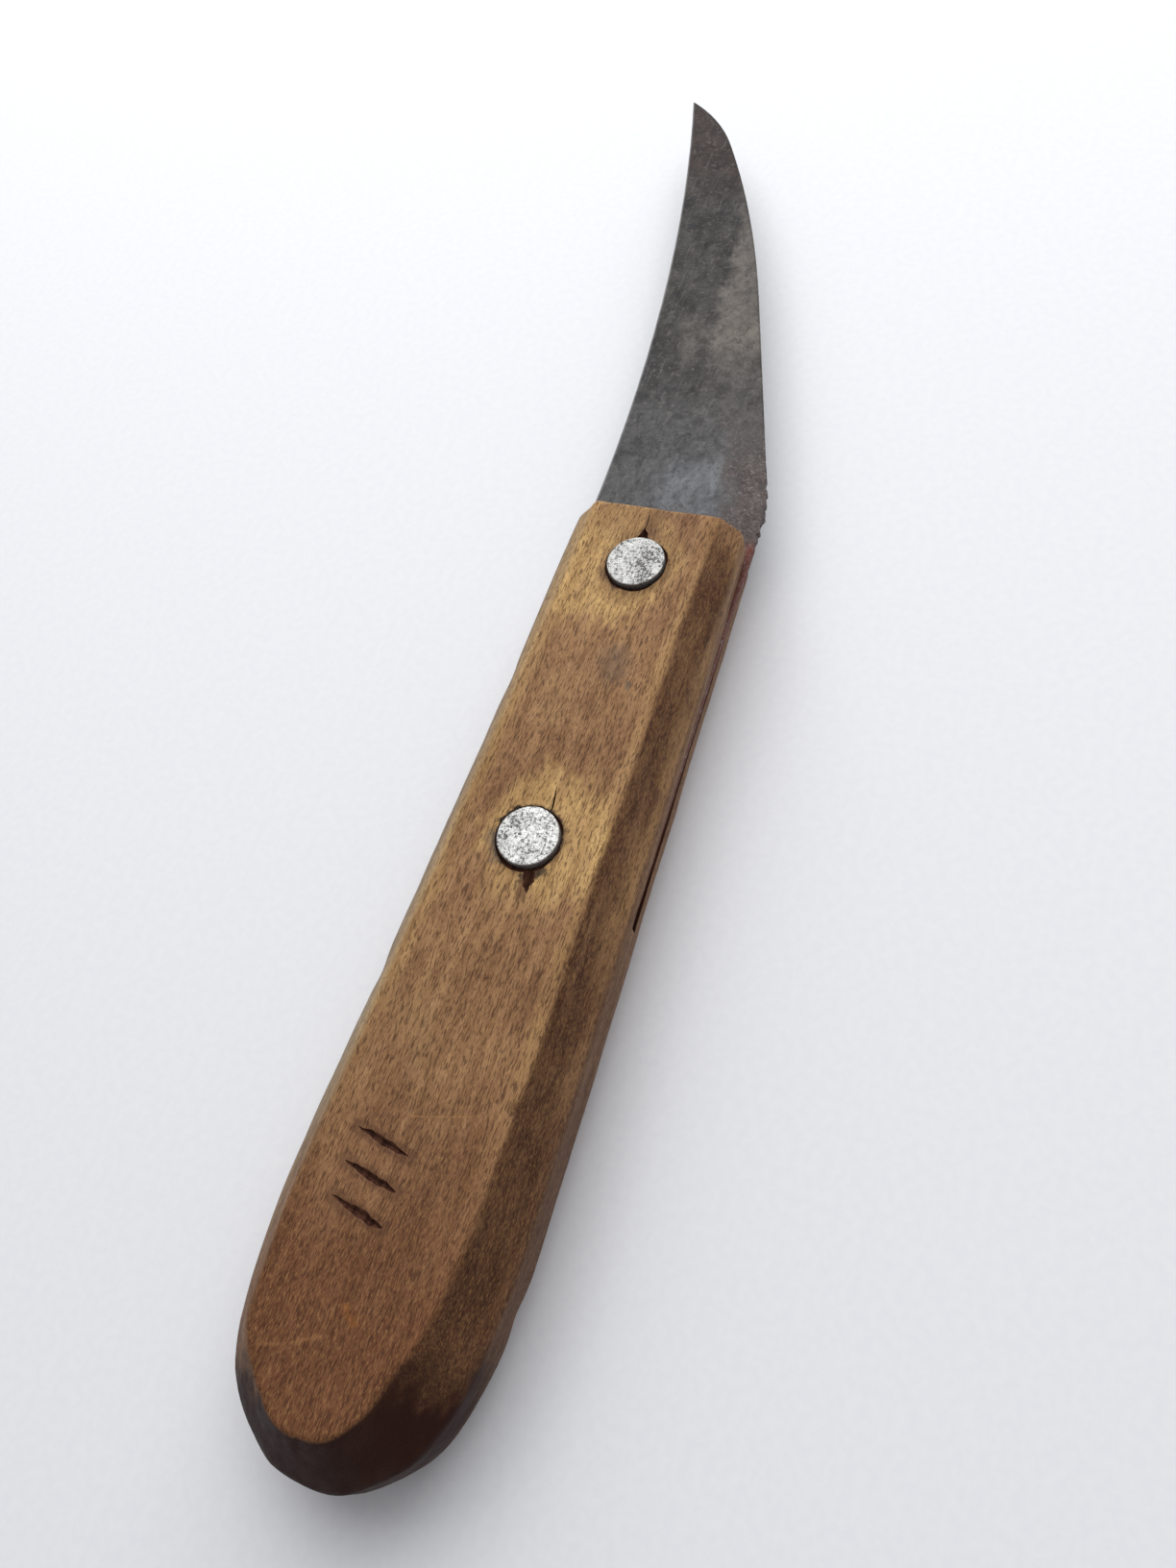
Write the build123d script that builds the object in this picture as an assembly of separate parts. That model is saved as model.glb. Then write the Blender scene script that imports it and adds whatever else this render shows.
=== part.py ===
from build123d import *
import os

# A skiving knife lying flat: +X from the butt to the tip, +Y towards the cutting edge, +Z up.
# The origin is on the flat underside of the handle, on the line of the rivets and half way along
# the handle. All sizes are in millimetres.

# Handle: one block of wood with wide bevels all round except at the front end.
HANDLE_LENGTH = 110.5
HANDLE_THICKNESS = 16.0
SIDE_BAND = 5.6             # upright band between the upper and the lower bevel
FRONT_WIDTH_EDGE = 11.6     # from the rivet line to the side that faces the cutting edge
FRONT_WIDTH_SPINE = 10.8    # from the rivet line to the side that faces the spine
WIDEST = 13.3               # from the rivet line to either side, in the palm
PALM_X = -24.0              # where the sides' straight taper ends and the butt's curve begins
FLAT_FRONT_WIDTH = 8.2      # half the flat face's width at the front end
FLAT_WIDEST = 9.5           # half the flat face's width in the palm
BUTT_BEVEL = 4.2            # how far the flat faces stop short of the butt
BUTT_CURVE = [(12.0, 0.93), (5.5, 0.745), (1.9, 0.455), (0, 0)]  # distance from the end, share of the width
BUTT_LEAN = 1.0             # how far the butt's end leans towards the spine
CORNER_RADIUS = 1.2         # the front end's upright corners
FRONT_ROUNDING = 0.8        # the front end's upper and lower edges

# Blade and tang: one piece of flat steel.
STEEL = 1.2
BLADE_REACH = 85.1          # from the handle's front end to the tip
TIP_Y = 22.9
HEEL_Y = -11.0
RICASSO = 2.0               # straight, unground length in front of the handle
TANG_LENGTH = 50.3
TANG_INSET = 0.3            # how far the tang's end lies inside the handle's sides
TANG_CORNER = 2.5
GRIND_WIDTH = 7.0           # single bevel, on the underside only
EDGE_THICKNESS = 0.15

# Saw cut for the tang, open at the front and on both sides.
KERF = 1.3
KERF_DEPTH = 50.8

# Cutler's rivets: a solid shank pressed into a tube, each with a flat head.
RIVET_PITCH = 37.0
RIVET_SETBACK = 9.0         # from the handle's front end to the front rivet
HEAD_DIAMETER = 7.0
HEAD_THICKNESS = 1.0
HEAD_PROUD = 0.4            # upper heads stand above the wood
HEAD_SUNK = 0.1             # lower heads lie below the wood
HEAD_CHAMFER = 0.15
TUBE_DIAMETER = 4.4
SHANK_DIAMETER = 2.6
SHANK_CHAMFER = 0.3
SHANK_CLEARANCE = 0.02      # radial, between shank and tube
HOLE_CLEARANCE = 0.1        # radial, round the tubes
SEAT_CLEARANCE = 0.2        # radial, round the heads
MOUTH_GAP = 0.5             # from the tube's mouth to the other head

OVERCUT = 1.0               # how far a cutting shape runs past the surface it cuts

FRONT_X = HANDLE_LENGTH / 2
BUTT_X = -FRONT_X
TIP_X = FRONT_X + BLADE_REACH
MID_Z = HANDLE_THICKNESS / 2
STEEL_LOW = MID_Z - STEEL / 2
FRONT_RIVET_X = FRONT_X - RIVET_SETBACK
REAR_RIVET_X = FRONT_RIVET_X - RIVET_PITCH
UPPER_SEAT = HANDLE_THICKNESS + HEAD_PROUD - HEAD_THICKNESS
LOWER_SEAT = HEAD_SUNK + HEAD_THICKNESS
SHANK_LENGTH = UPPER_SEAT - LOWER_SEAT - MOUTH_GAP


def taper(front, widest):
    """How much half the handle's width grows for each millimetre back from its front end."""
    return (widest - front) / (FRONT_X - PALM_X)


def plan_outline(front_edge, front_spine, widest, butt_x, lean):
    """Handle outline seen from above: rounded front corners, tapered sides and a full round butt."""

    def side(front, sign):
        slope = taper(front, widest)
        corner_start = (FRONT_X, sign * (front - CORNER_RADIUS))
        corner_end = (FRONT_X - CORNER_RADIUS, sign * (front + slope * CORNER_RADIUS))
        corner = RadiusArc(corner_start, corner_end, -sign * CORNER_RADIUS)
        flank = Line(corner_end, (PALM_X, sign * widest))
        butt_points = [(PALM_X, sign * widest)]
        for distance, share in BUTT_CURVE:
            butt_points.append((butt_x + distance, sign * widest * share - lean * (1 - share) ** 2))
        butt = Spline(butt_points, tangents=[(-1, sign * slope), (0, -sign)])
        return [corner, flank, butt]

    front = Line((FRONT_X, CORNER_RADIUS - front_spine), (FRONT_X, front_edge - CORNER_RADIUS))
    return make_face([front, *side(front_edge, 1), *reversed(side(front_spine, -1))])


def rivet_columns(radius, low, high):
    """An upright cylinder on each rivet's axis."""
    return [Pos(x, 0, low) * extrude(Circle(radius), high - low) for x in (FRONT_RIVET_X, REAR_RIVET_X)]


def make_handle():
    """Upright band with a bevelled cap above and below, rounded in front, then sawn and drilled."""
    side_face = plan_outline(FRONT_WIDTH_EDGE, FRONT_WIDTH_SPINE, WIDEST, BUTT_X, BUTT_LEAN)
    flat_face = plan_outline(FLAT_FRONT_WIDTH, FLAT_FRONT_WIDTH, FLAT_WIDEST, BUTT_X + BUTT_BEVEL, 0)
    band_low = Pos(0, 0, MID_Z - SIDE_BAND / 2) * side_face
    band_high = Pos(0, 0, MID_Z + SIDE_BAND / 2) * side_face
    band = extrude(band_low, SIDE_BAND)
    upper_cap = loft([band_high, Pos(0, 0, HANDLE_THICKNESS) * flat_face], ruled=True)
    lower_cap = loft([flat_face, band_low], ruled=True)

    side_view = Rectangle(HANDLE_LENGTH, HANDLE_THICKNESS, align=(Align.CENTER, Align.MIN))
    side_view = fillet(side_view.vertices().sort_by(Axis.X)[-2:], FRONT_ROUNDING)
    rounded_front = extrude(Plane.XZ * side_view, 2 * WIDEST, both=True)

    kerf_start = Pos(FRONT_X - KERF_DEPTH, 0, MID_Z)
    kerf = kerf_start * Box(2 * KERF_DEPTH, 4 * WIDEST, KERF, align=(Align.MIN, Align.CENTER, Align.CENTER))
    seat_radius = HEAD_DIAMETER / 2 + SEAT_CLEARANCE
    cuts = [kerf]
    cuts += rivet_columns(TUBE_DIAMETER / 2 + HOLE_CLEARANCE, 0, HANDLE_THICKNESS)
    cuts += rivet_columns(seat_radius, UPPER_SEAT, HANDLE_THICKNESS + OVERCUT)
    cuts += rivet_columns(seat_radius, -OVERCUT, LOWER_SEAT)
    return ((band + upper_cap + lower_cap) & rounded_front) - cuts


def make_grind(edge):
    """The bevel's waste: a shallow cone round the centre of the cutting edge's arc."""
    centre = edge.arc_center
    rise = STEEL - EDGE_THICKNESS
    run_past = GRIND_WIDTH * OVERCUT / rise
    profile = [
        (edge.radius, STEEL_LOW + rise),
        (edge.radius + GRIND_WIDTH + run_past, STEEL_LOW - OVERCUT),
        (edge.radius - OVERCUT, STEEL_LOW - OVERCUT),
        (edge.radius - OVERCUT, STEEL_LOW + rise),
    ]
    section = make_face(Polyline([(centre.X, centre.Y - r, z) for r, z in profile], close=True))
    sweep_angle = 30
    return revolve(section, Axis((centre.X, centre.Y, 0), (0, 0, 1)), sweep_angle)


def make_blade():
    """Concave cutting edge, humped spine, and a tang that widens with the handle."""
    edge_start = (FRONT_X + RICASSO, FRONT_WIDTH_EDGE)
    tip = (TIP_X, TIP_Y)
    spine_hump = (TIP_X - 9.7, 13.9)
    spine_dip = (FRONT_X + 44.2, 0.6)
    heel_front = (FRONT_X + 10.0, HEEL_Y + 0.8)
    heel_back = (FRONT_X + 5.8, HEEL_Y)
    tang_end = FRONT_X - TANG_LENGTH
    tang_end_edge = FRONT_WIDTH_EDGE + TANG_LENGTH * taper(FRONT_WIDTH_EDGE, WIDEST) - TANG_INSET
    tang_end_spine = FRONT_WIDTH_SPINE + TANG_LENGTH * taper(FRONT_WIDTH_SPINE, WIDEST) - TANG_INSET

    spine = Line(spine_dip, heel_front)
    belly = TangentArc(spine_dip, spine_hump, tangent=-(spine % 0))
    nose = TangentArc(spine_hump, tip, tangent=belly % 1)
    edge = TangentArc(edge_start, tip, tangent=(1, 0))
    tang = Polyline(
        heel_front,
        heel_back,
        (FRONT_X, HEEL_Y),
        (tang_end, -tang_end_spine),
        (tang_end, tang_end_edge),
        (FRONT_X, FRONT_WIDTH_EDGE),
        edge_start,
    )
    outline = make_face([edge, nose, belly, spine, tang])
    outline = fillet(outline.vertices().sort_by(Axis.X)[:2], TANG_CORNER)
    blank = Pos(0, 0, STEEL_LOW) * extrude(outline, STEEL)
    holes = rivet_columns(TUBE_DIAMETER / 2 + HOLE_CLEARANCE, 0, HANDLE_THICKNESS)
    return blank - make_grind(edge) - holes


def rivet_head():
    """Flat head, face up, with its underside at Z = 0."""
    head = extrude(Circle(HEAD_DIAMETER / 2), HEAD_THICKNESS)
    return chamfer(head.edges().group_by(Axis.Z)[-1], HEAD_CHAMFER)


def make_rivet_male():
    shank = extrude(Circle(SHANK_DIAMETER / 2), -SHANK_LENGTH)
    shank = chamfer(shank.edges().group_by(Axis.Z)[0], SHANK_CHAMFER)
    return rivet_head() + shank


def make_rivet_female():
    tube = extrude(Circle(TUBE_DIAMETER / 2), -SHANK_LENGTH)
    bore = extrude(Circle(SHANK_DIAMETER / 2 + SHANK_CLEARANCE), -SHANK_LENGTH)
    return rivet_head() + tube - bore


parts = {"handle": make_handle(), "blade": make_blade()}
for place, x in (("front", FRONT_RIVET_X), ("rear", REAR_RIVET_X)):
    parts[f"{place}_rivet_male"] = Pos(x, 0, UPPER_SEAT) * make_rivet_male()
    parts[f"{place}_rivet_female"] = Pos(x, 0, LOWER_SEAT) * Rot(180, 0, 0) * make_rivet_female()

os.makedirs("parts", exist_ok=True)
for node, solid in parts.items():
    export_step(solid, f"parts/{node}.step")
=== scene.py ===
import math

import bpy
import numpy as np
from mathutils import Matrix, Vector, noise


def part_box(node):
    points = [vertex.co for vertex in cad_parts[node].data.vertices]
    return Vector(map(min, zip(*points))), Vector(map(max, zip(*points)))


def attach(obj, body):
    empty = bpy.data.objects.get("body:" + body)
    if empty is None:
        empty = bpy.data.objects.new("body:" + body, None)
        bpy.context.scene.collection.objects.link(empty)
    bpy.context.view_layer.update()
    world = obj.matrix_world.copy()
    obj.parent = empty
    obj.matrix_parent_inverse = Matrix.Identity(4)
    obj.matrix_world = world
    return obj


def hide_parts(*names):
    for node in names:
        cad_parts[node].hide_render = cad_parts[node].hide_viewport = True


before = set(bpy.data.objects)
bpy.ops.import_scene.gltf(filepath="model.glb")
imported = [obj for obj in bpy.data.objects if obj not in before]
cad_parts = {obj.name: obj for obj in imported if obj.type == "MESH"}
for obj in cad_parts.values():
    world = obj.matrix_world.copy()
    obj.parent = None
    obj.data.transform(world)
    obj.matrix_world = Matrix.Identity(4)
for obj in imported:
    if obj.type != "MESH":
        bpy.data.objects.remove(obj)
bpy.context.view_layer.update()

# The looks of a worn skiving knife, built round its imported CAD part. Shapes are worked out in
# millimetres, in the part's frame: +X from the butt to the tip, +Y towards the cutting edge, +Z up.
# Meshes and materials are in metres, and the helpers below turn millimetres into them.
MM = 0.001

# Handle
MESH_STEP = 0.4             # spacing of the handle's mesh
FAN_RAYS = 129              # columns of that mesh round the butt, and as many round the front
SKIN = 0.02                 # how far inside the CAD's flat faces their outline is read
FRONT_ROUNDING = 0.8
SIDE_BAND = 5.6             # height of the upright band between the bevels
PALM_X = -24.0              # where the handle is widest
RIDGE_WIDTH = (9.6, 8.3)    # from the rivet line to the ridges of the top face, in the palm and in front
LIP = 0.12                  # worn edges of the saw cut
GAP_ABOVE = 0.32            # between the steel and the saw cut's upper side
GAP_BELOW = 0.03            # between the steel and the saw cut's lower side
KERF_END_GAP = 0.5          # behind the tang
TANG_RECESS = 0.25          # how far the tang's back edge is worn in behind the wood
LIP_HEIGHT = 0.1            # of the worn edges' slope
SOFTENING_ROUNDS = 5        # of smoothing over the ridges
HOLLOWS = 0.10              # broad wear in the wood
RIPPLES = 0.035             # narrow wear in the wood
MARKS_FADE = (2.0, 1.4)     # how far below the top face its marks are gone, and where they start to go
OVERCUT = 0.6               # how far a groove's cutter stands above the wood, as a share of its depth
HOLE_RADIUS = 2.3
SEAT_RADIUS = 3.62
SEAT_WEAR = 0.14
SEAT_FLARE = 0.1            # how much wider the lower seat's cutter is below the wood
HEAD_THICKNESS = 1.0
HEAD_ROUNDING = 0.14
HEAD_SEGMENTS = 96

# Blade
BLADE_STEP = 0.3            # spacing of the blade's rings
BLADE_ROWS = 84             # points across each of the blade's faces
SCALLOP_PITCH = 1.5         # knocks in the back edge by the heel
SCALLOP_DEPTH = 0.38
SCALLOP_LENGTH = 15.0       # how far in front of the handle they go
EDGE_DROP = 0.07            # rounding of the upper face at the cutting edge
SPINE_DROP = 0.12           # rounding of both faces at the spine
PIT_DEPTH = 0.10            # in the rust

# Camera: where the photographer stood, and which way the lens looked.
EYE = (-33.0, -47.0, 130.0)
LOOK_AT = (23.8, 1.74, 0.0)
CAMERA_RIGHT = (0.3274, -0.9227, -0.2034)
LENS = 27.79
SENSOR = 36.0
CLIP_START = 5.0

# Studio: a large square window of soft light in watts, a weak even sky and a floor.
WINDOW_PLACE = (365, 75, 430)
WINDOW_TARGET = (20, 0, 0)
WINDOW_SIZE = 790
WINDOW_POWER = 4.45
SKY_COLOUR = (247, 248, 252)
SKY_STRENGTH = 0.325
FLOOR_HALF = 3000

# Tolerances of the section maths.
PARALLEL = 1e-9
END_SLACK = 1e-4


# ---------------------------------------------------------------- reading the frame

def box_mm(node):
    """Lowest and highest corner of a CAD node, in millimetres."""
    low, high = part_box(node)
    return np.array(low) / MM, np.array(high) / MM


def triangles_mm(node):
    """A CAD node's triangles as an array of corners, in millimetres."""
    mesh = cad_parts[node].data
    mesh.calc_loop_triangles()
    corners = np.array([v.co for v in mesh.vertices]) / MM
    return corners[np.array([t.vertices for t in mesh.loop_triangles])]


def section(triangles, axis, value):
    """Line segments where a surface crosses the plane axis = value, in the other two axes."""
    others = [a for a in range(3) if a != axis]
    above = triangles[:, :, axis] > value
    crossed = triangles[above.any(axis=1) & ~above.all(axis=1)]
    segments = []
    for corners in crossed:
        ends = []
        for a, b in ((0, 1), (1, 2), (2, 0)):
            start, end = corners[a], corners[b]
            if (start[axis] > value) != (end[axis] > value):
                share = (value - start[axis]) / (end[axis] - start[axis])
                ends.append((start + share * (end - start))[others])
        segments.append(ends)
    return np.array(segments)


def reach(segments, origins, directions):
    """How far each ray travels in a plane before it leaves the outline for good."""
    start = segments[None, :, 0] - origins[:, None]
    along = segments[None, :, 1] - segments[None, :, 0]
    ray = directions[:, None]
    cross = ray[..., 0] * along[..., 1] - ray[..., 1] * along[..., 0]
    cross = np.where(np.abs(cross) < PARALLEL, PARALLEL, cross)
    distance = (start[..., 0] * along[..., 1] - start[..., 1] * along[..., 0]) / cross
    share = (start[..., 0] * ray[..., 1] - start[..., 1] * ray[..., 0]) / cross
    hit = (share > -END_SLACK) & (share < 1 + END_SLACK)
    return np.where(hit, distance, 0).max(axis=1)


HANDLE_LOW, HANDLE_HIGH = box_mm("handle")
BLADE_LOW, BLADE_HIGH = box_mm("blade")
RIVET_X = {place: sum(b[0] for b in box_mm(f"{place}_rivet_male")) / 2 for place in ("front", "rear")}
FRONT_RIVET, REAR_RIVET = RIVET_X["front"], RIVET_X["rear"]
TOP = HANDLE_HIGH[2]
BUTT_X, FRONT_X = HANDLE_LOW[0], HANDLE_HIGH[0]
MID_X = sum(RIVET_X.values()) / 2
MID_Z = (BLADE_LOW[2] + BLADE_HIGH[2]) / 2
BAND_LOW, BAND_HIGH = MID_Z - SIDE_BAND / 2, MID_Z + SIDE_BAND / 2
KERF_LOW, KERF_HIGH = BLADE_LOW[2] - GAP_BELOW, BLADE_HIGH[2] + GAP_ABOVE
KERF_X = BLADE_LOW[0] - KERF_END_GAP


# ---------------------------------------------------------------- small maths

def ramp(value, start, end):
    """0 at start, 1 at end and smooth between them. start may be the larger one."""
    t = np.clip((value - start) / (end - start), 0, 1)
    return t * t * (3 - 2 * t)


def bell(value, centre, width):
    return np.exp(-(((value - centre) / width) ** 2))


def cloud(points, size, seed, octaves=3):
    """Smooth noise of about -1 to 1. size is how wide its lumps are along each axis."""
    places = points / np.array(size, float) + 31.7 * seed
    return np.array([noise.fractal(Vector(p), 1.0, 2.0, octaves) for p in places])


# ---------------------------------------------------------------- meshes

def new_object(name, points, faces):
    """A mesh object from points in millimetres."""
    mesh = bpy.data.meshes.new(name)
    mesh.from_pydata([tuple(p) for p in np.asarray(points) * MM], [], faces)
    mesh.validate()
    piece = bpy.data.objects.new(name, mesh)
    bpy.context.scene.collection.objects.link(piece)
    return piece


def merge_doubles(piece, distance):
    """Joins points that are closer together than so many millimetres."""
    modifier = piece.modifiers.new("merge", "WELD")
    modifier.merge_threshold = distance * MM
    apply_modifiers(piece)


def apply_modifiers(piece):
    evaluated = piece.evaluated_get(bpy.context.evaluated_depsgraph_get())
    mesh = bpy.data.meshes.new_from_object(evaluated)
    piece.modifiers.clear()
    piece.data = mesh


def carve(piece, cutter):
    """Cuts cutter's solid out of piece. The new faces take the cutter's material."""
    modifier = piece.modifiers.new("carve", "BOOLEAN")
    modifier.operation = "DIFFERENCE"
    modifier.solver = "EXACT"
    modifier.material_mode = "TRANSFER"
    modifier.object = cutter
    apply_modifiers(piece)
    bpy.data.objects.remove(cutter)


def points_mm(piece):
    places = np.zeros(len(piece.data.vertices) * 3)
    piece.data.vertices.foreach_get("co", places)
    return places.reshape(-1, 3) / MM


def normals(piece):
    directions = np.zeros(len(piece.data.vertices) * 3)
    piece.data.vertices.foreach_get("normal", directions)
    return directions.reshape(-1, 3)


def move_points(piece, points):
    piece.data.vertices.foreach_set("co", (points * MM).ravel())
    piece.data.update()


def paint(piece, name, values):
    """Keeps one number for each point of the mesh, for the material to read."""
    layer = piece.data.attributes.new(name, "FLOAT", "POINT")
    layer.data.foreach_set("value", np.clip(values, 0, 1).astype(np.float32))


def smooth_shade(piece, angle):
    """Smooth shading, apart from edges that turn by more than so many degrees."""
    piece.data.shade_smooth()
    piece.data.set_sharp_from_angle(angle=math.radians(angle))


def grid_faces(rows, columns):
    """Quads of a grid whose points are stored row by row, its last column joined to the first."""
    faces = []
    for row in range(rows - 1):
        for column in range(columns):
            after = (column + 1) % columns
            low, high = row * columns, (row + 1) * columns
            faces.append((low + column, high + column, high + after, low + after))
    return faces


def circle():
    """Directions all round the upright axis."""
    turns = (np.arange(HEAD_SEGMENTS) + 0.5) * 2 * math.pi / HEAD_SEGMENTS
    return np.stack([np.cos(turns), np.sin(turns), 0 * turns], axis=1)


def turned(name, x, profile, closed_ends):
    """A turned solid on the line of the rivets.

    profile is radius and height from the top down. A radius is one number, or one for each direction.
    """
    around = circle()
    every_way = np.zeros((HEAD_SEGMENTS, 1))
    points = np.concatenate([around * (radius + every_way) + (x, 0, z) for radius, z in profile])
    faces = grid_faces(len(profile), HEAD_SEGMENTS)
    if closed_ends:
        last = (len(profile) - 1) * HEAD_SEGMENTS
        faces += [tuple(range(HEAD_SEGMENTS)), tuple(reversed(range(last, last + HEAD_SEGMENTS)))]
    return new_object(name, points, faces)


# ---------------------------------------------------------------- materials

def srgb(red, green, blue):
    """A colour from 0-255 screen values, made linear."""
    channels = [c / 255 for c in (red, green, blue)]
    return [c / 12.92 if c <= 0.04045 else ((c + 0.055) / 1.055) ** 2.4 for c in channels] + [1.0]


class Nodes:
    """A material's node tree, with short calls for the nodes that this script uses."""

    def __init__(self, name):
        self.material = bpy.data.materials.new(name)
        self.material.use_nodes = True
        self.tree = self.material.node_tree
        self.shader = self.tree.nodes["Principled BSDF"]
        self.place = self.add("ShaderNodeTexCoord").outputs["Object"]

    def add(self, kind, links=None, **settings):
        node = self.tree.nodes.new(kind)
        for key, value in settings.items():
            setattr(node, key, value)
        for socket, value in (links or {}).items():
            self.feed(node.inputs[socket], value)
        return node

    def feed(self, socket, value):
        if isinstance(value, bpy.types.NodeSocket):
            self.tree.links.new(value, socket)
        else:
            socket.default_value = value

    def set(self, **values):
        for name, value in values.items():
            self.feed(self.shader.inputs[name.replace("_", " ")], value)

    def scaled(self, per_mm, source=None):
        """The place on the object, times so many units a millimetre along each axis."""
        scale = [s / MM for s in per_mm]
        return self.add("ShaderNodeMapping", {"Vector": source or self.place, "Scale": scale}).outputs[0]

    def noise(self, per_mm, detail=3.0, rough=0.55, source=None, distortion=0.0):
        links = {"Vector": self.scaled(per_mm, source), "Scale": 1.0, "Detail": detail}
        links.update({"Roughness": rough, "Distortion": distortion})
        return self.add("ShaderNodeTexNoise", links).outputs["Fac"]

    def step(self, value, start, end, low=0.0, high=1.0):
        """Turns value's range from start to end into low to high, smoothly, and cuts it off there."""
        links = {"Value": value, "From Min": start, "From Max": end, "To Min": low, "To Max": high}
        return self.add("ShaderNodeMapRange", links, interpolation_type="SMOOTHSTEP").outputs[0]

    def math(self, operation, a, b=0.0, clamp=False):
        return self.add("ShaderNodeMath", {0: a, 1: b}, operation=operation, use_clamp=clamp).outputs[0]

    def vector(self, operation, a, b, output="Vector"):
        return self.add("ShaderNodeVectorMath", {0: a, 1: b}, operation=operation).outputs[output]

    def mix(self, share, a, b, blend="MIX"):
        """From a at a share of 0 to b at 1. Each is a socket or a colour in 0-255 screen values."""
        node = self.add("ShaderNodeMix", data_type="RGBA", blend_type=blend)
        self.feed(node.inputs[0], share)
        for number, colour in ((6, a), (7, b)):
            self.feed(node.inputs[number], srgb(*colour) if isinstance(colour, tuple) else colour)
        return node.outputs[2]

    def near_line(self, start, end, width, softness, ragged):
        """1 on a line on the top face and 0 beyond its width. Lengths in millimetres, ragged in metres."""
        if not hasattr(self, "plan"):
            self.plan = self.vector("MULTIPLY", self.place, (1, 1, 0))
            height = self.add("ShaderNodeSeparateXYZ", {0: self.place}).outputs[2]
            gone, fading = ((TOP - depth) * MM for depth in MARKS_FADE)
            self.on_top = self.step(height, gone, fading)
        first = Vector((*start, 0)) * MM
        along = Vector((*end, 0)) * MM - first
        offset = self.vector("SUBTRACT", self.plan, first)
        ratio = self.vector("DOT_PRODUCT", offset, along / along.length_squared, "Value")
        share = self.math("ADD", ratio, clamp=True)
        nearest = self.add("ShaderNodeVectorMath", {0: along, "Scale": share}, operation="SCALE").outputs[0]
        distance = self.vector("DISTANCE", offset, nearest, "Value")
        uneven = self.math("ADD", distance, self.math("MULTIPLY", ragged, min(1.0, softness)))
        line = self.step(uneven, (width + softness) / 2 * MM, (width - softness) / 2 * MM)
        return self.math("MULTIPLY", line, self.on_top)

    def painted(self, name):
        """A number that paint() kept on the mesh."""
        return self.add("ShaderNodeAttribute", attribute_name=name).outputs["Fac"]

    def bump(self, height, distance_mm, strength=1.0, normal=None):
        links = {"Height": height, "Distance": distance_mm * MM, "Strength": strength}
        if normal:
            links["Normal"] = normal
        return self.add("ShaderNodeBump", links).outputs[0]


# Cracks in the top face beside the rivets' seats: start, end, width, depth.
CRACKS = [
    ((FRONT_RIVET + 1.6, 0.1), (FRONT_RIVET + 5.3, 0.6), 1.7, 1.3),
    ((REAR_RIVET + 3.0, -1.5), (REAR_RIVET + 6.7, -0.9), 0.24, 1.0),
    ((REAR_RIVET - 2.4, -1.2), (REAR_RIVET - 6.2, -2.1), 1.5, 0.8),
]
# Three plain tally cuts across the top face, near the butt.
TALLY_PITCH = 3.4
TALLY_CUTS = [((-24.4 - i * TALLY_PITCH, 5.6), (-25.6 - i * TALLY_PITCH, -0.6), 1.15, 0.45) for i in range(3)]

# Marks on the top face too fine to cut: start, end, width, softness, strength, colour.
# The first five ring the rivets' heads: the two black rings at the heads' edges are grime with painted shade
# in the gap round each head. A soft brown edge goes round each tally cut.
BLACK = (26, 18, 17)
BROWN = (84, 54, 38)
ASH = (112, 98, 84)
PALE = (176, 128, 82)
ORANGE = (170, 105, 48)
TOP_MARKS = [
    # Grime with painted shade in the gap round the front head.
    ((FRONT_RIVET - 0.5, 0), (FRONT_RIVET - 0.2, 0), 7.15, 0.4, 0.85, BLACK),
    ((FRONT_RIVET + 1.0, 0), (FRONT_RIVET - 1.5, 0), 8.6, 1.6, 0.35, BROWN),
    # Grime with painted shade in the gap round the rear head.
    ((REAR_RIVET - 0.3, 0.1), (REAR_RIVET + 0.1, -0.1), 7.6, 0.45, 0.9, BLACK),
    ((REAR_RIVET + 1.2, 3.5), (REAR_RIVET + 3.0, 2.3), 0.9, 0.4, 0.95, BLACK),
    ((REAR_RIVET - 4.5, -1.0), (REAR_RIVET - 3.4, -3.0), 1.1, 0.6, 0.8, BLACK),
    ((REAR_RIVET - 5.0, -1.3), (REAR_RIVET - 6.3, -1.7), 1.4, 0.8, 0.6, BROWN),
    ((REAR_RIVET - 3.2, 3.0), (REAR_RIVET - 0.6, 4.0), 1.2, 1.2, 0.5, ASH),
    ((FRONT_RIVET + 4.7, 0.55), (FRONT_RIVET + 7.0, 0.6), 0.2, 0.14, 0.7, BLACK),
    ((FRONT_RIVET + 7.0, 0.6), (FRONT_X, 1.2), 0.16, 0.2, 0.5, BLACK),
    ((FRONT_RIVET + 4.6, -0.4), (FRONT_RIVET + 7.8, -0.5), 2.2, 1.6, 0.5, BROWN),
    ((FRONT_RIVET + 2.5, -5.5), (FRONT_RIVET + 7.8, -4.0), 2.6, 2.2, 0.3, BROWN),
    ((FRONT_RIVET - 13.0, -1.8), (FRONT_RIVET - 15.0, -2.4), 3.0, 2.4, 0.35, ASH),
    ((FRONT_RIVET - 16.0, -4.4), (FRONT_RIVET - 17.0, -4.6), 0.5, 0.4, 0.5, ASH),
    ((-21.9, 0.6), (-20.2, -5.1), 0.12, 0.12, 0.45, PALE),
    ((-21.8, 4.0), (-21.9, 0.6), 0.12, 0.12, 0.2, PALE),
    ((-45.4, 6.6), (-44.2, 3.6), 0.25, 0.3, 0.25, PALE),
    ((-44.2, 3.6), (-42.9, 1.2), 0.4, 0.4, 0.3, PALE),
    ((-40.0, -0.2), (-40.9, -1.6), 0.7, 0.8, 0.3, ORANGE),
]
TOP_MARKS += [(start, end, width + 0.5, 0.5, 0.5, BROWN) for start, end, width, _ in TALLY_CUTS]


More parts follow.
